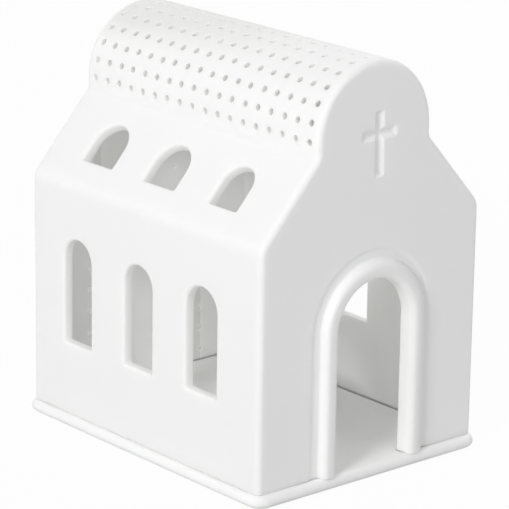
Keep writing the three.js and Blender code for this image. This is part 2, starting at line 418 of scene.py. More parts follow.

# Waxed cotton, off-white fibres along z, with painted shade that makes it a little darker in the grooves
# of the braid
COTTON_BRAID = GrainedFinish(
    "wick_cotton",
    colour=(0.88, 0.86, 0.80),
    shade=(0.70, 0.67, 0.60),
    roughness=0.82,
    spots=Grain(0.16 * MM, 3.0, 5.0),
    spots_dull=0.2,
    grain=Grain(0.16 * MM, 3.0, 5.0),
    relief=0.6,
    relief_depth=0.05 * MM,
)


# Meshes


def new_object(name: str, data: Any) -> bpy.types.Object:
    """Adds an object to the scene.

    Args:
        name: the object's name.
        data: its mesh, camera or light.

    Returns:
        The object.
    """
    made = bpy.data.objects.new(name, data)
    bpy.context.scene.collection.objects.link(made)
    return made


class Skin:
    """Gathers the patches of one piece and welds them into a closed mesh."""

    def __init__(self) -> None:
        """Starts with no patch."""
        self.points: list[np.ndarray] = []
        self.faces: list[list[int]] = []
        self.count = 0

    def add(self, points: np.ndarray, faces: np.ndarray) -> None:
        """Adds a patch.

        Args:
            points: rows of x, y and z, in any shape.
            faces: rows of the points' numbers.
        """
        self.points.append(points.reshape(-1, 3))
        self.faces.extend((faces + self.count).tolist())
        self.count += len(self.points[-1])

    def add_grid(self, grid: np.ndarray, ring: bool = False) -> None:
        """Adds a grid of quads.

        Args:
            grid: rows by columns by three.
            ring: whether the last column joins the first.
        """
        rows, columns = grid.shape[:2]
        number = np.arange(rows * columns).reshape(rows, columns)
        if ring:
            number = np.hstack([number, number[:, :1]])
        quads = np.stack([number[:-1, :-1], number[1:, :-1], number[1:, 1:], number[:-1, 1:]], -1)
        self.add(grid, quads.reshape(-1, 4))

    def piece(self, name: str, body: str, node: str, slot: str, finish: Finish) -> bpy.types.Object:
        """Makes the object, smooth, closed and with its faces outwards, and hangs it on its body.

        Args:
            name: the piece's name.
            body: the body that it rides on.
            node: the CAD node that it stands for.
            slot: the record's material slot; not used.
            finish: the finish whose material it gets.

        Returns:
            The object.
        """
        mesh = bpy.data.meshes.new(name)
        mesh.from_pydata(np.vstack(self.points).tolist(), [], self.faces)
        work = bmesh.new()
        work.from_mesh(mesh)
        bmesh.ops.remove_doubles(work, verts=work.verts, dist=WELD_DISTANCE)
        bmesh.ops.recalc_face_normals(work, faces=work.faces)
        open_edges = sum(not edge.is_manifold for edge in work.edges)
        work.to_mesh(mesh)
        work.free()
        mesh.polygons.foreach_set("use_smooth", np.ones(len(mesh.polygons), bool))
        mesh.materials.append(finish.material())
        made = new_object(name, mesh)
        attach(made, body)
        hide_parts(node)
        log.info("%s: %d faces, %d open edges, rides on %s", name, len(mesh.polygons), open_edges, body)
        return made


def triangulated(
    outer: np.ndarray, holes: Sequence[np.ndarray], spare: Optional[np.ndarray] = None
) -> tuple[np.ndarray, np.ndarray]:
    """Fills a flat outline round its holes with triangles, by Delaunay's rule with the loops kept.

    Args:
        outer: the outline, as rows of two coordinates.
        holes: the loops that stay open.
        spare: points between them that the triangles use too.

    Returns:
        The corners, as rows of two coordinates, and the triangles.
    """
    loops = [outer, *holes]
    ends = np.cumsum([0] + [len(loop) for loop in loops])
    rings = []
    for loop, start, end in zip(loops, ends[:-1], ends[1:]):
        ring = np.arange(start, end)
        rings.append((ring if signed_area(loop) > 0 else ring[::-1]).tolist())
    points = np.vstack(loops if spare is None else [*loops, spare]) / MM
    filled = delaunay_2d_cdt(points.tolist(), [], rings, FILL_INSIDE, FILL_TOLERANCE)
    corners, _, faces, _, _, owners = filled
    kept = [face for face, owner in zip(faces, owners) if list(owner) == [0]]
    return np.array(corners) * MM, np.array(kept)


def signed_area(loop: np.ndarray) -> float:
    """Area of a flat loop, positive where it runs anticlockwise."""
    following = np.roll(loop, -1, axis=0)
    return 0.5 * float(np.sum(loop[:, 0] * following[:, 1] - loop[:, 1] * following[:, 0]))


def directions(turn: np.ndarray) -> np.ndarray:
    """Unit directions at angles, as rows of cosine and sine."""
    return np.stack([np.cos(turn), np.sin(turn)], -1)


def beside(first: Union[np.ndarray, float], second: Union[np.ndarray, float]) -> np.ndarray:
    """Pairs of two coordinates, of which one may be the same for all."""
    return np.stack(np.broadcast_arrays(first, second), -1)


def meshed(first: np.ndarray, second: np.ndarray) -> np.ndarray:
    """Every pair of a first and a second coordinate, as rows."""
    return beside(first[:, None], second[None]).reshape(-1, 2)


def soft_step(share: np.ndarray) -> np.ndarray:
    """Rises from 0 to 1 with level ends: 3 t squared less 2 t cubed."""
    held = np.clip(share, 0.0, 1.0)
    return held * held * (3.0 - 2.0 * held)


def centred_row(count: int, pitch: float) -> np.ndarray:
    """Places of a row of equal steps that is centred on zero."""
    return (np.arange(count) - (count - 1) / 2) * pitch


def stepped(start: float, end: float, step: float) -> np.ndarray:
    """Equal steps from start to end, each no longer than step."""
    return np.linspace(start, end, max(2, math.ceil(abs(end - start) / step) + 1))


@dataclass(frozen=True)
class Edge:
    """The edge of an opening in a flat or unrolled wall, and the unit directions away from it."""

    points: np.ndarray
    outward: np.ndarray

    @classmethod
    def of_arcs(cls, arcs: Iterable[tuple[float, float, float, float, float, int]]) -> "Edge":
        """Strings arcs together; straight stretches lie between them.

        Args:
            arcs: for each arc its centre's two coordinates, radius, first and last angle and steps.

        Returns:
            The edge, whose outward directions are those from the arcs' centres.
        """
        points, outward = [], []
        for first, second, radius, start, end, steps in arcs:
            away = directions(np.linspace(start, end, steps + 1))
            points.append((first, second) + radius * away)
            outward.append(away)
        return cls(np.vstack(points), np.vstack(outward))

    @classmethod
    def round(cls, diameter: float, sides: int) -> "Edge":
        """A circle round zero."""
        away = directions(np.linspace(0.0, FULL_TURN, sides, endpoint=False))
        return cls(diameter / 2 * away, away)

    @classmethod
    def arched(cls, width: float, height: float, corner: float, steps: int) -> "Edge":
        """A round-headed opening that stands on zero, with two small round corners at its sill.

        Args:
            width: from side to side.
            height: from the sill to the top of the head.
            corner: radius of the sill's corners.
            steps: steps over the head.

        Returns:
            The edge, from the sill's right corner over the head to its left corner.
        """
        half = width / 2
        right = half - corner
        return cls.of_arcs(
            [
                (right, corner, corner, -QUARTER_TURN, 0.0, CORNER_STEPS),
                (0.0, height - half, half, 0.0, math.pi, steps),
                (-right, corner, corner, math.pi, 3 * QUARTER_TURN, CORNER_STEPS),
            ]
        )

    def grown(self, distance: float) -> np.ndarray:
        """The edge moved outwards by a distance."""
        return self.points + distance * self.outward

    def moved(self, offset: Sequence[float]) -> "Edge":
        """The edge moved by an offset."""
        return Edge(self.points + np.asarray(offset), self.outward)

    def carried(self, axes: np.ndarray, origin: Sequence[float]) -> "Edge":
        """The edge with its two coordinates along two new axes, which are the rows of a matrix."""
        return Edge(self.points @ axes + np.asarray(origin), self.outward @ axes)

    def holds(self, points: np.ndarray, margin: float) -> np.ndarray:
        """Whether points lie within a margin of the opening, which is convex."""
        away = points[:, None, :] - self.points[None]
        return np.all(np.sum(away * self.outward[None], axis=-1) < margin, axis=1)


@dataclass(frozen=True)
class Reveal:
    """The way through a wall at the edge of an opening: a round lip outside and a smaller one inside."""

    wall: float
    lip: float
    inner_lip: float
    apron: float
    steps: int

    @property
    def reach(self) -> float:
        """How far from the edge the reveal meets the wall's two faces."""
        return self.lip + self.apron

    def rounded(self, lip: float) -> np.ndarray:
        """A quarter circle from a face into the opening, as rows of way out and depth."""
        turn = np.linspace(0.0, QUARTER_TURN, self.steps + 1)
        return lip * np.stack([1.0 - np.sin(turn), 1.0 - np.cos(turn)], -1)

    def leaving(self) -> np.ndarray:
        """The rows from the opening out to the inner face."""
        turned = self.rounded(self.inner_lip)[::-1] * (1.0, -1.0) + (0.0, self.wall)
        return np.vstack([turned, (self.reach, self.wall)])

    def section(self) -> np.ndarray:
        """The rows from the outer face through the wall to the inner face."""
        return np.vstack([(self.reach, 0.0), self.rounded(self.lip), self.leaving()])


def line_opening(skin: Skin, edge: Edge, section: np.ndarray, placed: Placed) -> None:
    """Carries a reveal's section round an edge: out along the edge's own directions, down by depth.

    Args:
        skin: what the reveal is added to.
        edge: the opening's edge.
        section: rows of way out and depth.
        placed: gives points in space for flat coordinates and depths.
    """
    flat = edge.points[None] + section[:, None, :1] * edge.outward[None]
    skin.add_grid(placed(flat, section[:, 1:]), ring=True)


# The pieces


@dataclass(frozen=True)
class HouseSection:
    """Half of the house's section, told by the way along it from the crown down to the foot.

    The heading starts level, turns down over the vault, runs down the stilt, turns out at the
    shoulder, runs down the slope, turns down at the eave and runs down the wall.
    """

    half_width: float = 50 * MM
    eave_height: float = 86.2 * MM
    slope_rise: float = 27.4 * MM
    stilt_height: float = 4.5 * MM
    vault_radius: float = 25.6 * MM
    shoulder_bend: float = 1.5 * MM
    eave_bend: float = 3 * MM
    samples: int = 24001

    @property
    def slope_run(self) -> float:
        """How far the slope reaches inwards."""
        return self.half_width - self.vault_radius

    @property
    def bend_angle(self) -> float:
        """How far the heading turns at the shoulder and at the eave."""
        return math.atan2(self.slope_run, self.slope_rise)

    @property
    def spring_height(self) -> float:
        """Height of the vault's centre."""
        return self.eave_height + self.slope_rise + self.stilt_height

    @cached_property
    def breaks(self) -> np.ndarray:
        """Runs at which the section changes, as sums of the lengths of its stretches and bends.

        Returns:
            The runs at the crown, spring, shoulder's two ends, eave's two ends and foot.
        """
        radius_per_bend = 1.0 / math.tan(self.bend_angle / 2)
        slope = math.hypot(self.slope_run, self.slope_rise)
        return np.cumsum(
            [
                0.0,
                self.vault_radius * math.pi / 2,
                self.stilt_height - self.shoulder_bend,
                self.shoulder_bend * radius_per_bend * self.bend_angle,
                slope - self.shoulder_bend - self.eave_bend,
                self.eave_bend * radius_per_bend * self.bend_angle,
                self.eave_height - self.eave_bend,
            ]
        )

    def heading(self, run: np.ndarray) -> np.ndarray:
        """Angle of the way, linear in the run between the breaks."""
        turns = [0.0, -QUARTER_TURN, 0.0, self.bend_angle, 0.0, -self.bend_angle, 0.0]
        return np.interp(run, self.breaks, np.cumsum(turns))

    @cached_property
    def table(self) -> tuple[np.ndarray, np.ndarray, np.ndarray]:
        """The section in small steps, as sums of the heading's cosine and sine.

        Returns:
            The runs, and the x and the z reached there.
        """
        run = np.linspace(0.0, self.breaks[-1], self.samples)
        middle = self.heading((run[1:] + run[:-1]) / 2)
        step = run[1] - run[0]
        x = np.concatenate([[0.0], np.cumsum(np.cos(middle)) * step])
        z = np.concatenate([[0.0], np.cumsum(np.sin(middle)) * step])
        return run, x, z + self.spring_height + self.vault_radius

    def at(self, run: np.ndarray, depth: np.ndarray) -> tuple[np.ndarray, np.ndarray]:
        """Points of the section, sunk square to it.

        Args:
            run: the way from the crown, negative on the left.
            depth: how far the points are sunk.

        Returns:
            The x and the z of the points.
        """
        runs, x, z = self.table
        way = np.abs(run)
        heading = self.heading(way)
        inwards_x = np.interp(way, runs, x) + depth * np.sin(heading)
        return np.sign(run) * inwards_x, np.interp(way, runs, z) - depth * np.cos(heading)

    def up_the_slope(self, distance: float) -> float:
        """The run of a point on the slope, a distance up from the eave's corner."""
        eave_top = float(self.breaks[4])
        return eave_top + self.eave_bend - distance

    def lines(
        self, foot: float, flat_step: float, bend_steps: int, vault_steps: int, apron: float
    ) -> np.ndarray:
        """Runs of the lines along the house: even over bends and vault, wide over flat stretches.

        Args:
            foot: height above the house's foot at which the lines end.
            flat_step: longest step over a flat stretch.
            bend_steps: steps over a bend.
            vault_steps: steps over half of the vault.
            apron: how far from a bend a flat stretch has its first line.

        Returns:
            The runs of both sides, from the left foot over the crown to the right foot.
        """
        crown, spring, above, below, over, under, end = self.breaks
        half = np.concatenate(
            [
                np.linspace(crown, spring, vault_steps + 1),
                stepped(spring + apron, above - apron, flat_step),
                np.linspace(above, below, bend_steps + 1),
                stepped(below + apron, over - apron, flat_step),
                np.linspace(over, under, bend_steps + 1),
                stepped(under + apron, end - foot, flat_step),
            ]
        )
        return np.concatenate([-half[:0:-1], half])


@dataclass(frozen=True)
class MouldingLeg:
    """What differs between the legs of the door's moulding."""

    crest: float
    flank: float
    sink: float


@dataclass(frozen=True)
class ChurchShell:
    """The slip-cast house: one wall of even thickness with its openings, door moulding and sunk cross."""

    section: HouseSection = HouseSection()
    depth: float = 125.8 * MM
    wall: float = 3.9 * MM
    gable_edge: float = 2 * MM
    gable_edge_inside: float = 0.5 * MM
    foot_round: float = 0.3 * MM
    foot_draw: float = 0.1 * MM
    foot_draw_corner: float = 1.2 * MM
    foot_corner_reach: float = 2.5 * MM
    foot_cove: float = 0.4 * MM
    foot_steps: int = 7
    apron: float = 0.5 * MM
    flat_step: float = 6 * MM
    bend_steps: int = 8
    gable_edge_steps: int = 10
    gable_edge_inside_steps: int = 3

    vent_rows: int = 13
    vent_columns: int = 18
    vent_diameter: float = 2.3 * MM
    vent_pitch: float = 6.8 * MM
    vent_lip: float = 0.15 * MM
    vent_apron: float = 0.25 * MM
    vent_lip_steps: int = 2
    vent_stray: float = 0.12 * MM
    vent_stray_limit: float = 2.0
    vent_sides: int = 20
    steps_between_vents: int = 4
    vent_seed: int = 13
    vault_sag: float = 1 * MM
    # How far short of the gables the vents' painted shade stops
    vent_shade_margin: float = 0.2 * MM

    window_widths: tuple[float, ...] = (16.4 * MM, 15.4 * MM, 15.4 * MM)
    window_heads: tuple[float, ...] = (66.2 * MM, 65.3 * MM, 66 * MM)
    left_window_sills: tuple[float, ...] = (28.1 * MM, 27.4 * MM, 26.8 * MM)
    right_window_sills: tuple[float, ...] = (28.8 * MM, 28.8 * MM, 28.8 * MM)
    window_pitch: float = 34.4 * MM
    left_window_shift: float = 2.4 * MM
    right_window_shift: float = -3.3 * MM
    roof_window_widths: tuple[float, ...] = (14.4 * MM, 16.9 * MM, 16.5 * MM)
    roof_window_height: float = 16.35 * MM
    roof_window_sill: float = 10.25 * MM
    roof_window_pitch: float = 34.25 * MM
    window_corner: float = 0.7 * MM
    window_steps: int = 24
    window_lip: float = 1.1 * MM
    inner_lip: float = 0.3 * MM
    window_lip_steps: int = 5

    door_width: float = 33.7 * MM
    door_height: float = 67.3 * MM
    door_shift: float = 0.65 * MM
    door_leg_steps: int = 8
    door_head_steps: int = 48
    bead_inner: float = 2.3 * MM
    bead_rise: float = 2.7 * MM
    bead_slope: float = math.radians(75)
    bead_fillet: float = 0.4 * MM
    band_width: float = 9.4 * MM
    band_step: float = 1.6 * MM
    bead_outer_steps: int = 14
    bead_inner_steps: int = 12
    moulding_steps: int = 8
    left_leg: MouldingLeg = MouldingLeg(2.0 * MM, 1.9 * MM, 0.6 * MM)
    right_leg: MouldingLeg = MouldingLeg(0.4 * MM, 4.5 * MM, 0.4 * MM)

    cross_top: float = 8.4 * MM
    cross_foot: float = 15.6 * MM
    cross_reach: float = 8.3 * MM
    cross_stroke: float = 4.7 * MM
    cross_shift: float = 1.75 * MM
    cross_lean: float = math.radians(0.8)
    cross_sink: float = 1.25 * MM
    cross_side: float = 2 * MM
    cross_round: float = 1.4 * MM
    cross_margin: float = 1.5 * MM
    cross_step: float = 0.2 * MM

    back_hole_diameter: float = 2.3 * MM
    back_arch_radius: float = 26.2 * MM
    back_arch_shift: float = -0.9 * MM
    back_arch_spring: float = 55.6 * MM
    back_arch_steps: int = 9
    back_hole_first: float = 4 * MM
    back_hole_pitch: float = 8.5 * MM
    back_leg_holes: int = 6
    back_hole_sides: int = 24
    back_lip_steps: int = 3

    @property
    def foot_height(self) -> float:
        """Height at which the round of the foot, with its apron, begins."""
        return self.foot_round + self.apron

    @property
    def half_depth(self) -> float:
        """How far the gables lie from the middle."""
        return self.depth / 2

    def face_depth(self, inside: bool) -> np.ndarray:
        """Depth of the wall's inner or outer face."""
        return np.array(self.wall if inside else 0.0)

    def sheet_end(self, inside: bool) -> float:
        """How far the unrolled sheet reaches along y before the round edge of a gable, on one side."""
        if inside:
            return self.half_depth - self.wall - self.gable_edge_inside
        return self.half_depth - self.gable_edge

    @cached_property
    def lines(self) -> np.ndarray:
        """Runs of the lines along the house, from the left foot to the right foot."""
        vault_steps = self.steps_between_vents * (self.vent_rows - 1) // 2
        return self.section.lines(
            self.foot_height, self.flat_step, self.bend_steps, vault_steps, self.apron
        )

    def on_sheet(self, flat: np.ndarray, depth: np.ndarray) -> np.ndarray:
        """Points in space on the sheet.

        Args:
            flat: runs and y on the unrolled sheet.
            depth: how far the points are sunk into the wall.

        Returns:
            The points, as x, y and z.
        """
        x, z = self.section.at(flat[..., 0], depth)
        return np.stack(np.broadcast_arrays(x, flat[..., 1], z), -1)

    def on_gable(self, gable: Gable) -> Placed:
        """How points are placed on a gable.

        Args:
            gable: which end.

        Returns:
            The function from x and z on the gable, and depths, to points in space.
        """

        def placed(flat: np.ndarray, depth: np.ndarray) -> np.ndarray:
            """Points in space for x and z on this gable, sunk by a depth."""
            y = gable.value * (self.half_depth - depth)
            return np.stack(np.broadcast_arrays(flat[..., 0], y, flat[..., 1]), -1)

        return placed

    def vents(self) -> list[Edge]:
        """The vents: even rows over the vault, each hole a little off its place.

        Returns:
            Their edges on the unrolled sheet, row by row.
        """
        chance = np.random.default_rng(self.vent_seed)
        row_pitch = self.section.vault_radius * math.pi / (self.vent_rows - 1)
        runs = centred_row(self.vent_rows, row_pitch)
        places = centred_row(self.vent_columns, self.vent_pitch)
        centres = meshed(runs, places)
        limit = self.vent_stray_limit
        stray = np.clip(chance.normal(0.0, 1.0, centres.shape), -limit, limit)
        hole = Edge.round(self.vent_diameter, self.vent_sides)
        return [hole.moved(centre) for centre in centres + stray * self.vent_stray]

    def windows(self) -> list[Edge]:
        """The windows, three in each wall and three in each slope, one side turned about the upright axis.

        Returns:
            Their edges on the unrolled sheet, the left side's first.
        """
        roof_sill = self.section.up_the_slope(self.roof_window_sill)
        wall_rows = {
            Side.LEFT: (self.left_window_sills, self.left_window_shift),
            Side.RIGHT: (self.right_window_sills, self.right_window_shift),
        }
        found = []
        for side in Side:
            axes = np.array([[0.0, 1.0], [-side.value, 0.0]])
            sills, shift = wall_rows[side]
            places = centred_row(len(self.window_widths), self.window_pitch) * -side.value + shift
            for width, head, sill, y in zip(self.window_widths, self.window_heads, sills, places):
                tall = Edge.arched(width, head - sill, self.window_corner, self.window_steps)
                run = float(self.section.breaks[-1]) - sill
                found.append(tall.carried(axes, (side.value * run, y)))
            places = centred_row(len(self.roof_window_widths), self.roof_window_pitch) * -side.value
            for width, y in zip(self.roof_window_widths, places):
                low = Edge.arched(width, self.roof_window_height, self.window_corner, self.window_steps)
                found.append(low.carried(axes, (side.value * roof_sill, y)))
        return found

    def back_holes(self) -> list[Edge]:
        """The holes of the back gable: two upright rows and a half circle over them.

        Returns:
            Their edges in x and z.
        """
        rise = self.back_hole_first + np.arange(self.back_leg_holes) * self.back_hole_pitch
        turn = np.linspace(0.0, math.pi, self.back_arch_steps + 1)
        arch = self.back_arch_radius * directions(turn) + (0.0, self.back_arch_spring)
        legs = [beside(side.value * self.back_arch_radius, rise) for side in Side]
        hole = Edge.round(self.back_hole_diameter, self.back_hole_sides)
        centres = np.vstack([*legs, arch]) + (self.back_arch_shift, 0.0)
        return [hole.moved(centre) for centre in centres]

    def vent_reveal(self, steps: int) -> Reveal:
        """The way through the wall at a vent, with a number of steps round its lips."""
        return Reveal(self.wall, self.vent_lip, self.vent_lip, self.vent_apron, steps)

    def window_reveal(self) -> Reveal:
        """The way through the wall at a window, softer outside than inside."""
        return Reveal(self.wall, self.window_lip, self.inner_lip, self.apron, self.window_lip_steps)

    def vent_drift(self, vent: Edge) -> np.ndarray:
        """How far a vent leans on its way in, so that it comes out clear of the gable's inner side.

        Args:
            vent: the vent's edge on the unrolled sheet.

        Returns:
            The offset along run and y at the inner face, which is zero away from the gables.
        """
        room = self.sheet_end(True) - self.vent_reveal(self.vent_lip_steps).reach - self.vent_lip
        along = vent.points[:, 1]
        return np.array([0.0, np.clip(0.0, -room - along.min(), room - along.max())])

    def leaning(self, drift: np.ndarray) -> Placed:
        """How points are placed in a vent that drifts in step with the depth.

        Args:
            drift: the offset along run and y at the inner face.

        Returns:
            The function from runs and y on the sheet, and depths, to points in space.
        """

        def placed(flat: np.ndarray, depth: np.ndarray) -> np.ndarray:
            """Points in space for runs and y on the sheet, drifted and sunk."""
            return self.on_sheet(flat + drift * (depth / self.wall)[..., None], depth)

        return placed

    def add_sheet(self, skin: Skin) -> None:
        """Adds the walls, slopes and vault, outside and inside, pierced by vents and windows.

        Args:
            skin: what they are added to.
        """
        vents, windows = self.vents(), self.windows()
        vent_reveal, window_reveal = self.vent_reveal(self.vent_lip_steps), self.window_reveal()
        drifts = [self.vent_drift(vent) for vent in vents]
        for vent, drift in zip(vents, drifts):
            line_opening(skin, vent, vent_reveal.section(), self.leaning(drift))
        for window in windows:
            line_opening(skin, window, window_reveal.section(), self.on_sheet)
        inner_vents = [vent.moved(drift) for vent, drift in zip(vents, drifts)]
        for inside, pierced in ((False, vents), (True, inner_vents)):
            holes = [vent.grown(vent_reveal.reach) for vent in pierced]
            holes += [window.grown(window_reveal.reach) for window in windows]
            border, spare = self.sheet_border(inside), self.sheet_points(pierced, windows, inside)
            flat, faces = triangulated(border, holes, spare)
            skin.add(self.on_sheet(flat, self.face_depth(inside)), faces)

    def foot_places(self, inside: bool) -> np.ndarray:
        """Places along y of the points on the sheet's two lower edges."""
        return stepped(-self.sheet_end(inside), self.sheet_end(inside), self.flat_step)

    def sheet_border(self, inside: bool) -> np.ndarray:
        """The unrolled sheet's outline.

        Args:
            inside: whether it is the inner face.

        Returns:
            Rows of run and y: along the front, the right foot, the back and the left foot.
        """
        runs, places, end = self.lines, self.foot_places(inside), self.sheet_end(inside)
        front, right = beside(runs, -end), beside(runs[-1], places)
        back, left = beside(runs[::-1], end), beside(runs[0], places[::-1])
        return np.vstack([front[:-1], right[:-1], back[:-1], left[:-1]])

    def sheet_points(self, vents: Sequence[Edge], windows: Sequence[Edge], inside: bool) -> np.ndarray:
        """Points between the openings: dense over the vault so that it is round, wide elsewhere.

        Args:
            vents: the vents as they pierce this face.
            windows: the windows.
            inside: whether it is the inner face.

        Returns:
            Rows of run and y, clear of every opening's reveal.
        """
        step = self.vent_pitch / self.steps_between_vents
        spring = self.section.breaks[1]
        on_vault = np.abs(self.lines) <= spring + step
        rim = self.sheet_end(inside) - self.apron
        wide = stepped(-rim, rim, self.flat_step)
        dense = centred_row(self.vent_columns * self.steps_between_vents + 1, step)
        dense = np.concatenate([[-rim], dense[np.abs(dense) < rim - self.apron], [rim]])
        vault, flanks = self.lines[on_vault], self.lines[~on_vault][1:-1]
        points = np.vstack([meshed(vault, dense), meshed(flanks, wide)])
        vent_reveal, window_reveal = self.vent_reveal(self.vent_lip_steps), self.window_reveal()
        for edges, reveal in ((vents, vent_reveal), (windows, window_reveal)):
            for edge in edges:
                points = points[~edge.holds(points, reveal.reach + reveal.apron)]
        return points

    def gable_edge_grid(self, gable: Gable, inside: bool) -> np.ndarray:
        """The round edge between the sheet and a gable: a quarter circle carried along the section.

        Args:
            gable: which end.
            inside: whether it is the inner side of the wall, where the circle is smaller.

        Returns:
            A row for each line of the house, from the sheet to an apron on the gable.
        """
        steps = self.gable_edge_inside_steps if inside else self.gable_edge_steps
        turn = np.linspace(0.0, QUARTER_TURN, steps + 1)
        radius = self.gable_edge_inside if inside else self.gable_edge
        depth = self.face_depth(inside) + radius * (1.0 - np.cos(turn))
        depth = np.append(depth, self.gable_rim(inside))
        reach = self.sheet_end(inside) + radius * np.append(np.sin(turn), 1.0)
        return self.on_sheet(beside(self.lines[:, None], gable.value * reach[None]), depth[None])

    def gable_rim(self, inside: bool) -> float:
        """How far inside the section the flat part of a gable begins, on one side of the wall."""
        return (self.wall + self.gable_edge_inside if inside else self.gable_edge) + self.apron

    def gable_outline(self, inside: bool) -> np.ndarray:
        """The flat part of a gable in x and z, from the left foot over the crown to the right foot."""
        return beside(*self.section.at(self.lines, np.array(self.gable_rim(inside))))

    def door_path(self) -> Edge:
        """The doorway's edge: two upright legs and a half circle.

        Returns:
            The edge in x and z, from the left foot over the head to the right foot.
        """
        half = self.door_width / 2
        spring = self.door_height - half
        leg = np.linspace(self.foot_height, spring, self.door_leg_steps + 1)[:-1]
        head = directions(np.linspace(math.pi, 0.0, self.door_head_steps + 1))
        left, right = beside(-half, leg), beside(half, leg[::-1])
        away = np.broadcast_to((1.0, 0.0), left.shape)
        points = np.vstack([left, half * head + (0.0, spring), right]) + (self.door_shift, 0.0)
        return Edge(points, np.vstack([-away, head, away]))

    def moulding_section(self, leg: MouldingLeg) -> np.ndarray:
        """The moulding's section from the gable into the doorway, as rows of way out and depth.

        The gable steps down by a raised cosine to a shallow band, a curve of two slopes runs up from
        the band, a quarter ellipse makes the outer flank, a flat crest follows, and a second quarter
        ellipse rolls over into the doorway.

        Args:
            leg: the measures that differ from leg to leg.

        Returns:
            Points as way out from the doorway's edge and depth below the gable.
        """
        slope = self.bead_slope
        outer = np.linspace(slope, 0.0, self.bead_outer_steps + 1)
        inner = np.linspace(0.0, -QUARTER_TURN, self.bead_inner_steps + 1)
        turn = np.concatenate([outer, inner])
        way = np.concatenate([leg.crest + leg.flank * np.sin(outer), self.bead_inner * np.sin(inner)])
        bead = beside(self.bead_inner + way, -self.bead_rise * np.cos(turn))
        steep = np.array([leg.flank * math.cos(slope), self.bead_rise * math.sin(slope)])
        knee = bead[0] + steep * (leg.sink - bead[0, 1]) / steep[1]
        share = np.linspace(0.0, 1.0, self.moulding_steps + 1)[:-1, None]
        start = knee + (self.bead_fillet, 0.0)
        foot = (1.0 - share) ** 2 * start + 2.0 * share * (1.0 - share) * knee + share**2 * bead[0]
        fall = np.linspace(0.0, math.pi, self.moulding_steps + 1)
        out = self.band_width + self.band_step * (1.0 - fall / math.pi)
        step = beside(out, leg.sink * 0.5 * (1.0 - np.cos(fall)))
        rim = (self.band_width + self.band_step + self.apron, 0.0)
        return np.vstack([rim, step, foot, bead, self.window_reveal().leaving()])

    def moulding_grid(self) -> np.ndarray:
        """The moulding: a section that blends from leg to leg, carried along the doorway's edge.

        Returns:
            A row of points for each point of the edge, from the gable through the wall.
        """
        path = self.door_path()
        left, right = self.moulding_section(self.left_leg), self.moulding_section(self.right_leg)
        share = (1.0 + path.outward[:, :1, None]) / 2
        section = left + share * (right - left)
        flat = path.points[:, None] + section[..., :1] * path.outward[:, None]
        return self.on_gable(Gable.FRONT)(flat, section[..., 1])

    def cross_grid(self) -> tuple[np.ndarray, np.ndarray]:
        """The sunk cross as x and z on a fine patch of the gable, and the depth there.

        The distance to the nearer bar's edge, counted inwards, sets the depth, which rises softly from
        the edge to the bar's middle line. The bars have round corners.

        Returns:
            The x and z of the patch, row by row, and the depth at each point.
        """
        half = self.cross_stroke / 2
        length = (self.cross_top + self.cross_foot) / 2

        def inwards(level: np.ndarray, upright: np.ndarray, reach: float, rise: float) -> np.ndarray:
            """How far points lie inside a bar with round corners.

            Args:
                level: the points' way along x from the bar's middle.
                upright: their way along z from the bar's middle.
                reach: half of the bar's width.
                rise: half of the bar's height.

            Returns:
                The distance to the bar's edge, negative outside.
            """
            beyond = np.stack([np.abs(level) - reach, np.abs(upright) - rise]) + self.cross_round
            outside = np.linalg.norm(np.maximum(beyond, 0.0), axis=0)
            return self.cross_round - outside - np.minimum(beyond.max(axis=0), 0.0)

        margin, step = self.cross_margin, self.cross_step
        across, up = np.meshgrid(
            stepped(-self.cross_reach - margin, self.cross_reach + margin, step),
            stepped(-self.cross_foot - margin, self.cross_top + margin, step),
        )
        middle = (self.cross_top - self.cross_foot) / 2
        post = inwards(across, up - middle, half, length)
        arms = inwards(across, up, self.cross_reach, half)
        depth = self.cross_sink * soft_step(np.maximum(post, arms) / self.cross_side)
        cosine, sine = math.cos(self.cross_lean), math.sin(self.cross_lean)
        x = across * cosine - up * sine + self.cross_shift
        z = across * sine + up * cosine + self.section.spring_height
        return beside(x, z), depth

    @staticmethod
    def border(grid: np.ndarray) -> np.ndarray:
        """The points round the border of a grid, in order."""
        return np.vstack([grid[0, :-1], grid[:-1, -1], grid[-1, :0:-1], grid[:0:-1, 0]])

    def add_front(self, skin: Skin, moulding: np.ndarray) -> None:
        """Adds the front gable, outside and inside, with the moulding and the cross.

        Args:
            skin: what they are added to.
            moulding: the moulding's grid, whose first column lies on the gable and last one inside.
        """
        placed = self.on_gable(Gable.FRONT)
        cross, sunk = self.cross_grid()
        skin.add_grid(moulding)
        skin.add_grid(placed(cross, sunk))
        outer = np.vstack([self.gable_outline(False), moulding[::-1, 0][:, (0, 2)]])
        flat, faces = triangulated(outer, [self.border(cross)])
        skin.add(placed(flat, self.face_depth(False)), faces)
        inner = np.vstack([self.gable_outline(True), moulding[::-1, -1][:, (0, 2)]])
        flat, faces = triangulated(inner, [])
        skin.add(placed(flat, self.face_depth(True)), faces)

    def add_back(self, skin: Skin) -> None:
        """Adds the back gable, outside and inside, with its arch of holes.

        Args:
            skin: what it is added to.
        """
        placed = self.on_gable(Gable.BACK)
        reveal = self.vent_reveal(self.back_lip_steps)
        holes = self.back_holes()
        for edge in holes:
            line_opening(skin, edge, reveal.section(), placed)
        grown = [edge.grown(reveal.reach) for edge in holes]
        for inside in (False, True):
            flat, faces = triangulated(self.gable_outline(inside), grown)
            skin.add(placed(flat, self.face_depth(inside)), faces)

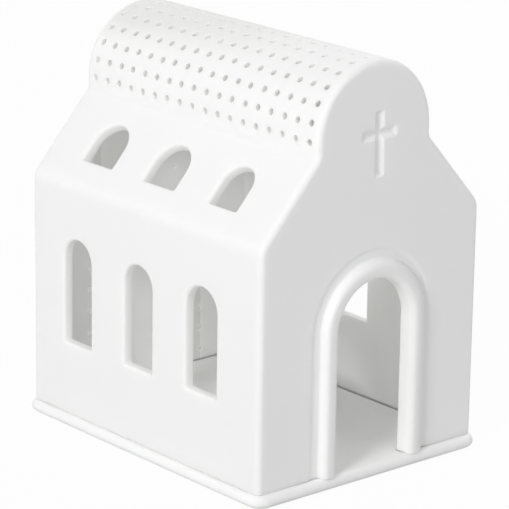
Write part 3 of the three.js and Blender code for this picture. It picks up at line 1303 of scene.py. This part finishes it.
    def foot_loop(
        self, moulding: np.ndarray, rounds: Mapping[tuple[Gable, bool], np.ndarray]
    ) -> tuple[np.ndarray, np.ndarray]:
        """The wall's outline above the foot, once round outside and back inside.

        Args:
            moulding: the moulding's grid, whose first and last rows stand on the foot.
            rounds: the round edges of the gables, outside and inside.

        Returns:
            The points in order, and for each how far it belongs to the outside, from 0 to 1.
        """
        share = np.clip(1.0 + (-self.half_depth - moulding[0, :, 1]) / self.wall, 0.0, 1.0)
        points, outside = [moulding[0, ::-1]], [share[::-1]]
        for inside, sides in ((False, (Side.LEFT, Side.RIGHT)), (True, (Side.RIGHT, Side.LEFT))):
            for side, ends in zip(sides, ((Gable.FRONT, Gable.BACK), (Gable.BACK, Gable.FRONT))):
                row = 0 if side is Side.LEFT else -1
                along = self.foot_places(inside)[1:-1] * ends[1].value
                flat = beside(self.lines[row], along)
                start, end = (rounds[gable, inside][row] for gable in ends)
                stretch = np.vstack([start[::-1], self.on_sheet(flat, self.face_depth(inside)), end])
                points.append(stretch)
                outside.append(np.full(len(stretch), 0.0 if inside else 1.0))
            if not inside:
                points.append(moulding[-1])
                outside.append(share)
        return np.vstack(points), np.concatenate(outside)

    def add_foot(self, skin: Skin, loop: np.ndarray, outside: np.ndarray) -> None:
        """Adds the round of the foot, carried along the wall's outline, and the flat ring that it ends in.

        Each point goes down a quarter ellipse along its own level normal: outside it draws in, by a
        larger way near the four corners, where the edge is worn round, and inside it runs out in a cove.

        Args:
            skin: what they are added to.
            loop: the wall's outline above the foot.
            outside: for each point, how far it belongs to the outside, from 0 to 1.
        """
        flat = loop[:, :2]
        along = np.roll(flat, -1, axis=0) - np.roll(flat, 1, axis=0)
        along = along / np.linalg.norm(along, axis=1, keepdims=True)
        inwards = beside(-along[:, 1], along[:, 0]) * math.copysign(1.0, signed_area(flat))
        short = np.array([self.section.half_width, self.half_depth]) - np.abs(flat)
        corner = np.hypot(short[:, 0], short[:, 1])
        worn = self.foot_draw_corner * np.exp(-((corner / self.foot_corner_reach) ** 2))
        way = outside * (self.foot_draw + worn) - (1.0 - outside) * self.foot_cove
        turn = np.linspace(0.0, QUARTER_TURN, self.foot_steps + 1)[:, None]
        rounded = flat + (way * (1.0 - np.cos(turn)))[..., None] * inwards
        height = (outside * self.foot_round + (1.0 - outside) * self.foot_cove) * (1.0 - np.sin(turn))
        rings = np.concatenate([rounded, height[..., None]], -1)
        skin.add_grid(np.concatenate([loop[None], rings]), ring=True)
        corners, faces = triangulated(rings[-1, :, :2], [])
        skin.add(np.column_stack([corners, np.zeros(len(corners))]), faces)

    def settled(self, points: np.ndarray) -> np.ndarray:
        """Points of the house as fired: the vault sinks towards the back, in step with the height.

        Args:
            points: rows of x, y and z, with z from the house's foot.

        Returns:
            The points after the sag.
        """
        over = np.maximum(points[:, 2] - self.section.spring_height, 0.0) / self.section.vault_radius
        share = np.clip(0.5 + 0.5 * points[:, 1] / self.half_depth, 0.0, 1.0)
        return points - np.outer(over * share * self.vault_sag, (0.0, 0.0, 1.0))

    def build(self, floor: float) -> bpy.types.Object:
        """Makes the house and dresses it.

        Args:
            floor: height of the plate's top.

        Returns:
            The house.
        """
        skin = Skin()
        moulding = self.moulding_grid()
        ends = [(gable, inside) for gable in Gable for inside in (False, True)]
        rounds = {end: self.gable_edge_grid(*end) for end in ends}
        self.add_sheet(skin)
        for grid in rounds.values():
            skin.add_grid(grid)
        self.add_front(skin, moulding)
        self.add_back(skin)
        self.add_foot(skin, *self.foot_loop(moulding, rounds))
        skin.points = [self.settled(points) + (0.0, 0.0, floor) for points in skin.points]
        # The house's porcelain, with painted shade in its vents
        finish = PiercedPorcelain(
            "house_porcelain",
            vault_radius=self.section.vault_radius,
            vault_height=floor + self.section.spring_height,
            vault_reach=self.sheet_end(False) - self.vent_shade_margin,
            wall=self.wall,
        )
        return skin.piece("porcelain_house", "house", "church_shell", "house_porcelain", finish)


@dataclass(frozen=True)
class BasePlate:
    """The plate that everything stands on: a rounded rectangle with a round edge all the way."""

    half_width: float = 52 * MM
    half_depth: float = 65.6 * MM
    thickness: float = 5.2 * MM
    corner: float = 6 * MM
    corner_steps: int = 16
    edge_round: float = 2.6 * MM
    under_round: float = 5 * MM
    edge_steps: int = 24
    apron: float = 0.5 * MM
    colour: Colour = (0.965, 0.965, 0.96)
    shade: Colour = (0.95, 0.95, 0.944)

    def path(self) -> Edge:
        """The plate's outline: four quarter circles with straight stretches between them."""
        corners = ((1, 1), (-1, 1), (-1, -1), (1, -1))
        return Edge.of_arcs(
            (
                x * (self.half_width - self.corner),
                y * (self.half_depth - self.corner),
                self.corner,
                number * QUARTER_TURN,
                (number + 1) * QUARTER_TURN,
                self.corner_steps,
            )
            for number, (x, y) in enumerate(corners)
        )

    def build(self) -> bpy.types.Object:
        """Makes the plate: two quarter ellipses carried round the outline, and two flat faces.

        Returns:
            The plate, whose lower quarter ellipse is the wider one.
        """
        skin, path = Skin(), self.path()
        turn = np.linspace(-QUARTER_TURN, QUARTER_TURN, self.edge_steps + 1)
        reach = np.where(turn < 0.0, self.under_round, self.edge_round)
        inset = reach * (1.0 - np.cos(turn))
        inset = np.concatenate([[inset[0] + self.apron], inset, [inset[-1] + self.apron]])
        middle = self.thickness / 2
        height = np.concatenate([[0.0], middle + middle * np.sin(turn), [self.thickness]])
        flat = path.points[None] - inset[:, None, None] * path.outward[None]
        rings = np.concatenate([flat, np.broadcast_to(height[:, None, None], (*flat.shape[:2], 1))], -1)
        skin.add_grid(rings, ring=True)
        for ring in (rings[0], rings[-1]):
            corners, faces = triangulated(ring[:, :2], [])
            skin.add(np.column_stack([corners, np.full(len(corners), ring[0, 2])]), faces)
        finish = MattePorcelain("plate_porcelain", self.colour, self.shade)
        return skin.piece("porcelain_plate", "plate", "base_plate", "plate_porcelain", finish)


@dataclass(frozen=True)
class Tealight:
    """The tealight: a pressed cup, its wax, the tab under it and the wick."""

    x: float = 8 * MM
    y: float = -5 * MM
    fit_gap: float = 0.3 * MM
    turn_steps: int = 144
    bend_steps: int = 6

    cup_radius: float = 19 * MM
    cup_height: float = 15 * MM
    cup_draft: float = 0.5 * MM
    cup_sheet: float = 0.35 * MM
    cup_rim: float = 0.6 * MM
    cup_bend: float = 1.2 * MM
    cup_floor_steps: int = 5
    cup_wall_steps: int = 16
    cup_rim_steps: int = 8
    flutes: int = 48
    flute_depth: float = 0.12 * MM
    flute_foot: tuple[float, float] = (0.12, 0.15)
    flute_head: tuple[float, float] = (0.72, 0.12)

    wax_height: float = 12.2 * MM
    wax_bend: float = 1.4 * MM
    wax_edge: float = 0.15 * MM
    wax_edge_drop: float = 0.1 * MM
    wax_meniscus: float = 0.7 * MM
    wax_meniscus_reach: float = 0.8 * MM
    wax_hump: float = 0.35 * MM
    wax_hump_reach: float = 1.1 * MM
    wax_steps: int = 39

    tab_radius: float = 7 * MM
    tab_sheet: float = 0.35 * MM
    tab_edge: float = 0.1 * MM
    neck_radius: float = 1.7 * MM
    neck_height: float = 3 * MM
    neck_lift: float = 0.1 * MM
    neck_share: float = 0.96
    neck_draw: float = 0.2 * MM
    neck_flare: float = 0.5 * MM
    neck_step: float = 0.05 * MM
    neck_steps: int = 8

    wick_radius: float = 0.8 * MM
    wick_free: float = 6.5 * MM
    wick_lean: tuple[float, float] = (0.72 * MM, -0.54 * MM)
    wick_strands: int = 3
    wick_lay: float = 3.2 * MM
    wick_relief: float = 0.14
    wick_rows: int = 150
    wick_sides: int = 36

    def turned(self, profile: np.ndarray, floor: float, flutes: Optional[np.ndarray] = None) -> np.ndarray:
        """Turns a profile round the tealight's axis.

        Args:
            profile: rows of radius and height above the tealight's underside.
            floor: height of the underside.
            flutes: for each row, how far upright waves move its radius.

        Returns:
            A ring of points for each row.
        """
        turn = np.linspace(0.0, FULL_TURN, self.turn_steps, endpoint=False)
        waves = 0.0 if flutes is None else flutes[:, None] * np.cos(self.flutes * turn)
        radius = profile[:, :1] + waves
        x, y = self.x + radius * np.cos(turn), self.y + radius * np.sin(turn)
        return np.stack(np.broadcast_arrays(x, y, profile[:, 1:] + floor), -1)

    @staticmethod
    def piece(rings: np.ndarray, name: str, node: str, slot: str, finish: Finish) -> bpy.types.Object:
        """Makes one piece of the tealight.

        Args:
            rings: rings of points, each joined to the next.
            name: the piece's name.
            node: the CAD node that it stands for.
            slot: the record's material slot.
            finish: the finish whose material it gets.

        Returns:
            The object.
        """
        skin = Skin()
        skin.add_grid(rings, ring=True)
        return skin.piece(name, "tealight", node, slot, finish)

    def cup(self, floor: float) -> bpy.types.Object:
        """The cup: a thin tub with a round foot, fluted sides and a rolled rim.

        Args:
            floor: height of the tealight's underside.

        Returns:
            The cup, whose flutes fade out towards its foot and its rim.
        """
        mouth = self.cup_radius - self.cup_rim
        foot = mouth - self.cup_draft
        sheet, bend, rim = self.cup_sheet, self.cup_bend, self.cup_sheet / 2
        turn = np.linspace(-QUARTER_TURN, 0.0, self.bend_steps + 1)
        roll = np.linspace(-QUARTER_TURN, QUARTER_TURN, self.cup_rim_steps + 1)
        rise = np.linspace(bend, self.cup_height - 2 * sheet, self.cup_wall_steps + 1)[1:]
        wall = foot + self.cup_draft * rise / self.cup_height
        level = np.linspace(0.0, foot - bend, self.cup_floor_steps + 1)[:-1]
        profile = np.vstack(
            [
                np.column_stack([level, np.zeros_like(level)]),
                (foot - bend, bend) + bend * directions(turn),
                np.column_stack([wall, rise]),
                (self.cup_radius - rim, self.cup_height - rim) + rim * directions(roll),
                (mouth - sheet, self.cup_height),
                np.column_stack([wall - sheet, rise])[-2::-1],
                (foot - bend, bend) + (bend - sheet) * directions(turn[::-1]),
                np.column_stack([level, np.full_like(level, sheet)])[::-1],
            ]
        )
        share = profile[:, 1] / self.cup_height
        fades = (self.flute_foot, self.flute_head)
        above, below = (soft_step((share - start) / way) for start, way in fades)
        rings = self.turned(profile, floor, self.flute_depth * above * (1.0 - below))
        return self.piece(rings, "pressed_cup", "tealight_cup", "cup_aluminium", PRESSED_ALUMINIUM)

    def wax(self, floor: float) -> bpy.types.Object:
        """The wax: it fills the cup, climbs its wall a little and rises softly at the wick.

        Args:
            floor: height of the tealight's underside.

        Returns:
            The wax, with room for the tab and the wick; both rises fall off as exponentials.
        """
        base = self.cup_sheet
        foot = self.cup_radius - self.cup_rim - self.cup_draft - base - self.fit_gap
        top = base + self.wax_height
        side = foot + self.cup_draft * self.wax_height / self.cup_height
        bend = self.wax_bend
        bore = self.wick_radius + self.fit_gap
        neck, tab = self.neck_radius + self.fit_gap, self.tab_radius + self.fit_gap
        tab_top = base + self.tab_sheet + self.fit_gap
        neck_top = tab_top + self.neck_height
        turn = np.linspace(-QUARTER_TURN, 0.0, self.bend_steps + 1)
        radius = np.linspace(side - self.wax_edge, bore, self.wax_steps + 1)
        climb = self.wax_meniscus * np.exp(-(side - radius) / self.wax_meniscus_reach)
        hump = self.wax_hump * np.exp(-(radius - bore) / self.wax_hump_reach)
        profile = np.vstack(
            [
                (tab, base),
                (foot - bend, base + bend) + bend * directions(turn),
                (side, top - self.wax_edge_drop),
                np.column_stack([radius, top - self.wax_meniscus + climb + hump]),
                (bore, neck_top),
                (neck, neck_top),
                (neck, tab_top),
                (tab, tab_top),
                (tab, base),
            ]
        )
        rings = self.turned(profile, floor)
        return self.piece(rings, "poured_wax", "tealight_wax", "candle_wax", CANDLE_WAX)

    def tab(self, floor: float) -> bpy.types.Object:
        """The wick tab: a thin disc with a neck that is drawn in to grip the wick.

        Args:
            floor: height of the tealight's underside.

        Returns:
            The tab.
        """
        base, edge, outer = self.cup_sheet, self.tab_edge, self.tab_radius
        top = base + self.tab_sheet
        bore = self.wick_radius + self.fit_gap
        rise = np.linspace(0.0, self.neck_height, self.neck_steps + 1)
        drawn = self.neck_draw * soft_step(rise / self.neck_height)
        neck = np.column_stack([self.neck_radius - drawn, top + self.neck_lift + rise * self.neck_share])
        profile = np.vstack(
            [
                (0.0, base),
                (outer - edge, base),
                (outer, base + edge),
                (outer, top - edge),
                (outer - edge, top),
                (self.neck_radius + self.neck_flare, top),
                neck,
                neck[::-1] - (self.neck_radius - bore, 0.0),
                (bore - self.neck_step, top),
                (0.0, top),
            ]
        )
        rings = self.turned(profile, floor)
        return self.piece(rings, "wick_tab_sheet", "wick_tab", "tab_steel", TINNED_SHEET)

    def wick(self, floor: float) -> bpy.types.Object:
        """The wick: strands wound both ways give its radius, and its free end leans with the square.

        Args:
            floor: height of the tealight's underside.

        Returns:
            The wick, closed at both ends.
        """
        bottom = self.cup_sheet + self.tab_sheet
        waxed = self.cup_sheet + self.wax_height
        height = np.linspace(bottom, waxed + self.wick_free, self.wick_rows)[:, None]
        turn = np.linspace(0.0, FULL_TURN, self.wick_sides, endpoint=False)[None]
        lay = FULL_TURN * height / self.wick_lay
        wound = [np.cos(self.wick_strands * (turn + way * lay)) for way in (1, -1)]
        radius = self.wick_radius * (1.0 - self.wick_relief + self.wick_relief * np.maximum(*wound))
        bent = np.clip((height - waxed) / self.wick_free, 0.0, 1.0) ** 2
        x = self.x + self.wick_lean[0] * bent + radius * np.cos(turn)
        y = self.y + self.wick_lean[1] * bent + radius * np.sin(turn)
        tube = np.stack(np.broadcast_arrays(x, y, height + floor), -1)
        ends = [np.broadcast_to(tube[row].mean(axis=0), tube[row].shape)[None] for row in (0, -1)]
        rings = np.concatenate([ends[0], tube, ends[1]])
        return self.piece(rings, "braided_wick", "wick", "wick_cotton", COTTON_BRAID)

    def build(self, floor: float) -> list[bpy.types.Object]:
        """Makes the four pieces on a floor of the given height."""
        return [self.cup(floor), self.wax(floor), self.tab(floor), self.wick(floor)]


# The studio


@dataclass(frozen=True)
class PhotoCamera:
    """The camera of the photograph, fitted to the corners and round edges of the house."""

    azimuth: float = math.radians(-40.724)
    elevation: float = math.radians(17.048)
    roll: float = math.radians(0.881)
    distance: float = 1087.45 * MM
    target: tuple[float, float, float] = (1.4 * MM, 0.25 * MM, 65.56 * MM)
    focal_pixels: float = 3054.69
    frame_pixels: float = 509.0
    sensor: float = 36.0
    clip: tuple[float, float] = (0.05, 50.0)

    def build(self) -> bpy.types.Object:
        """Makes the camera and sets it as the scene's.

        Returns:
            The camera, on a sphere round its target and rolled about its own axis.
        """
        level = math.cos(self.elevation)
        back = Vector(
            (math.sin(self.azimuth) * level, -math.cos(self.azimuth) * level, math.sin(self.elevation))
        )
        data = bpy.data.cameras.new("photo_camera")
        data.sensor_width = self.sensor
        data.lens = self.focal_pixels / self.frame_pixels * self.sensor
        data.clip_start, data.clip_end = self.clip
        camera = new_object("photo_camera", data)
        turned = (-back).to_track_quat("-Z", "Y").to_matrix().to_4x4() @ Matrix.Rotation(self.roll, 4, "Z")
        camera.matrix_world = Matrix.Translation(Vector(self.target) + back * self.distance) @ turned
        bpy.context.scene.camera = camera
        return camera


@dataclass(frozen=True)
class Lamp:
    """A round area lamp that points at the lantern."""

    name: str
    place: tuple[float, float, float]
    size: float
    watts: float
    aim: tuple[float, float, float] = (0.0, 0.0, 70 * MM)

    def build(self) -> bpy.types.Object:
        """Makes the lamp at its place and turns it to its aim.

        Returns:
            The lamp.
        """
        data = bpy.data.lights.new(self.name, "AREA")
        data.shape = "DISK"
        data.size = self.size
        data.energy = self.watts
        lamp = new_object(self.name, data)
        place = Vector(self.place)
        lamp.location = place
        lamp.rotation_euler = (Vector(self.aim) - place).to_track_quat("-Z", "Y").to_euler()
        return lamp


@dataclass(frozen=True)
class Studio:
    """A white floor, even light all round, a lamp on the left and a larger soft one on the right."""

    ambient: float = 0.54
    floor_half: float = 4.0
    floor_drop: float = 0.1 * MM
    floor_colour: Colour = (0.75, 0.75, 0.75)
    floor_glow: float = 0.96
    lamps: tuple[Lamp, ...] = (
        Lamp("key_lamp", (-1.61, -0.62, 0.985), 0.5, 17.0),
        Lamp("back_lamp", (1.5, 0.6, 1.1), 1.2, 10.0),
    )
    light_bounces: int = 24

    @staticmethod
    def seen(shader: Shader) -> Field:
        """Tells what is seen from what lights the pieces.

        Args:
            shader: the nodes of the world or of the floor.

        Returns:
            1 on rays that come from the camera, a reflection or glass, and 0 on light that bounces.
        """
        kinds = ("Camera", "Glossy", "Transmission")
        rays = [shader.node("ShaderNodeLightPath", output=f"Is {kind} Ray") for kind in kinds]
        return shader.math("MAXIMUM", shader.math("MAXIMUM", rays[0], rays[1]), rays[2])

    def world(self) -> None:
        """White where it is seen, and the level of the ambient light elsewhere."""
        world = bpy.data.worlds.new("white_studio")
        bpy.context.scene.world = world
        shader = Shader(world)
        strength = self.ambient + (1.0 - self.ambient) * self.seen(shader)
        background = shader.tree.nodes["Background"]
        shader.feed(background.inputs["Color"], WHITE)
        shader.feed(background.inputs["Strength"], strength)

    def floor(self) -> bpy.types.Object:
        """Makes a wide pale floor that keeps the shadow, with a white glow where it is seen.

        Returns:
            The floor.
        """
        half = self.floor_half
        signs = ((-1, -1), (1, -1), (1, 1), (-1, 1))
        corners = [(x * half, y * half, -self.floor_drop) for x, y in signs]
        mesh = bpy.data.meshes.new("studio_floor")
        mesh.from_pydata(corners, [], [(0, 1, 2, 3)])
        shader = Shader.of_material("floor_white")
        plain = shader.node("ShaderNodeBsdfDiffuse", inputs={"Color": self.floor_colour})
        glow = shader.node("ShaderNodeEmission", inputs={"Color": WHITE, "Strength": 1.0})
        share = self.seen(shader) * self.floor_glow
        mixed = shader.node("ShaderNodeMixShader", inputs={0: share, 1: plain, 2: glow})
        shader.feed(shader.tree.nodes["Material Output"].inputs["Surface"], mixed)
        mesh.materials.append(shader.owner)
        made = new_object("studio_floor", mesh)
        return made

    def build(self) -> None:
        """Sets the plain view transform and the light's bounces, and makes world, floor and lamps."""
        scene = bpy.context.scene
        scene.view_settings.view_transform = "Standard"
        scene.cycles.max_bounces = self.light_bounces
        scene.cycles.diffuse_bounces = self.light_bounces
        self.world()
        self.floor()
        for lamp in self.lamps:
            lamp.build()


def main() -> None:
    """Builds camera, studio and every piece of the lantern in order."""
    logging.basicConfig(level=logging.INFO, format="%(name)s %(message)s")
    PhotoCamera().build()
    Studio().build()
    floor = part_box("base_plate")[1].z
    BasePlate().build()
    ChurchShell().build(floor)
    Tealight().build(floor)


if __name__ == "__main__":
    main()
